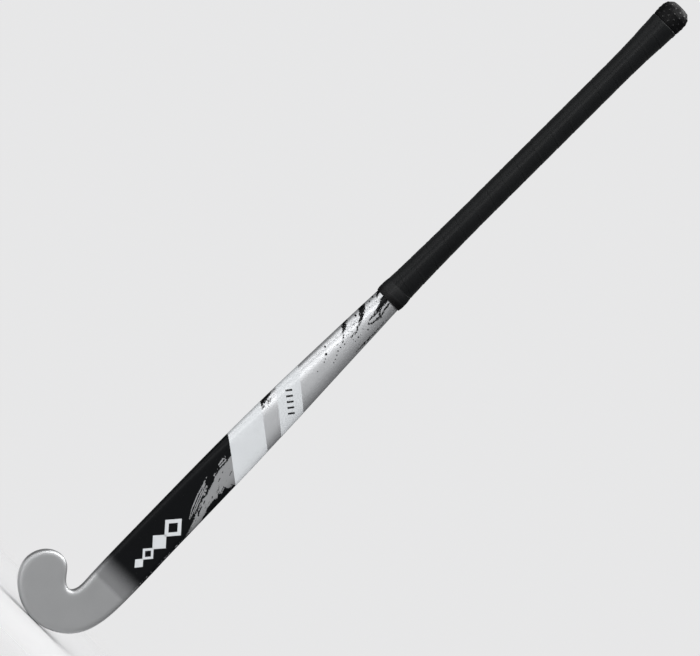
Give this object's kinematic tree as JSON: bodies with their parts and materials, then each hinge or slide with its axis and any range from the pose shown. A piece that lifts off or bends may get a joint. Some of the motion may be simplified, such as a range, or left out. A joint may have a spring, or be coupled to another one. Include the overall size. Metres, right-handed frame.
{
  "type": "field hockey stick",
  "caption": "Right-hand field hockey stick with a hooked head, flat face, rounded back, gently bowed shaft, spiral-wrapped soft grip and rubber butt cap.",
  "frame": {"origin": "centre of the flat on the butt cap's end", "axes": "+Z out of the butt along the straight handle, so the head is at the bottom; -Y the way the flat playing face looks; -X the way the toe points"},
  "size_m": [0.1071, 0.0699, 0.9265],
  "materials": {
    "lamina_dark": "planed hardwood, resin filled",
    "lamina_light": "planed hardwood, resin filled",
    "handle_wood": "planed straight-grained timber",
    "shock_rubber": "moulded sheet rubber",
    "glass_tape": "woven glass tape in resin",
    "glass_sleeve": "braided glass fibre in resin",
    "paint": "metallic silver fading to black under clear lacquer",
    "white_film": "white film under clear lacquer",
    "dark_film": "dark film under clear lacquer",
    "adhesive_tape": "double-sided tape",
    "grip": "soft cushioned grip, satin, fine grain",
    "finishing_tape": "stretch tape, satin",
    "cap_rubber": "moulded rubber with small raised studs"
  },
  "bodies": {
    "root": {"head_lamina_1": "lamina_dark", "head_lamina_2": "lamina_light", "head_lamina_3": "lamina_dark", "head_lamina_4": "lamina_light", "head_lamina_5": "lamina_dark", "head_lamina_6": "lamina_light", "head_lamina_7": "lamina_dark", "handle_centre_stave": "handle_wood", "handle_side_stave_toe_side": "handle_wood", "handle_side_stave_heel_side": "handle_wood", "rubber_strip_toe_side": "shock_rubber", "rubber_strip_heel_side": "shock_rubber", "splice_binding": "glass_tape", "face_reinforcement_strip": "glass_tape", "back_reinforcement_strip": "glass_tape", "glass_fibre_sleeve": "glass_sleeve", "painted_finish": "paint", "white_band_lower": "white_film", "white_band_upper": "white_film", "plain_diamond_marks": "white_film", "band_dash_marks": "dark_film", "grip_base_tape": "adhesive_tape", "grip_wrap": "grip", "grip_finishing_tape": "finishing_tape", "butt_cap": "cap_rubber"}
  },
  "joints": []
}
